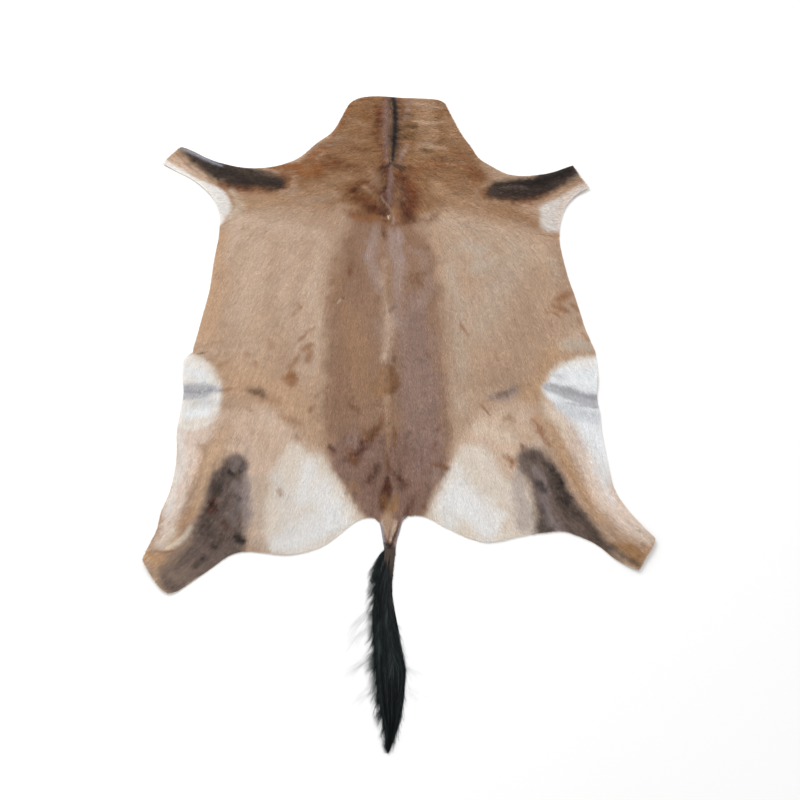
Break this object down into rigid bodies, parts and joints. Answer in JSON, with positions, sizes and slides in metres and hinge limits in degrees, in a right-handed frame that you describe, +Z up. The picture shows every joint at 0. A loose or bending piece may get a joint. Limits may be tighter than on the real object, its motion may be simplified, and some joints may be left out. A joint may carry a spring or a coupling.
{
  "type": "hartebeest hide rug",
  "caption": "Flat tanned hartebeest hide rug: short tan and brown hair, neck, four trimmed legs and flanks in one skin, and a tail with long black hair.",
  "frame": {"origin": "middle of the whole rug's box, at floor level", "axes": "+Y from the tail to the neck along the back, +X to the right with the hair side up, +Z up"},
  "size_m": [1.314, 1.8877, 0.0155],
  "materials": {
    "haired_skin": "short lying hair on tanned skin, matt with a faint sheen",
    "tail_hair": "long straight black hair, soft sheen"
  },
  "bodies": {
    "root": {"hide": "haired_skin", "tail": "tail_hair"}
  },
  "joints": []
}
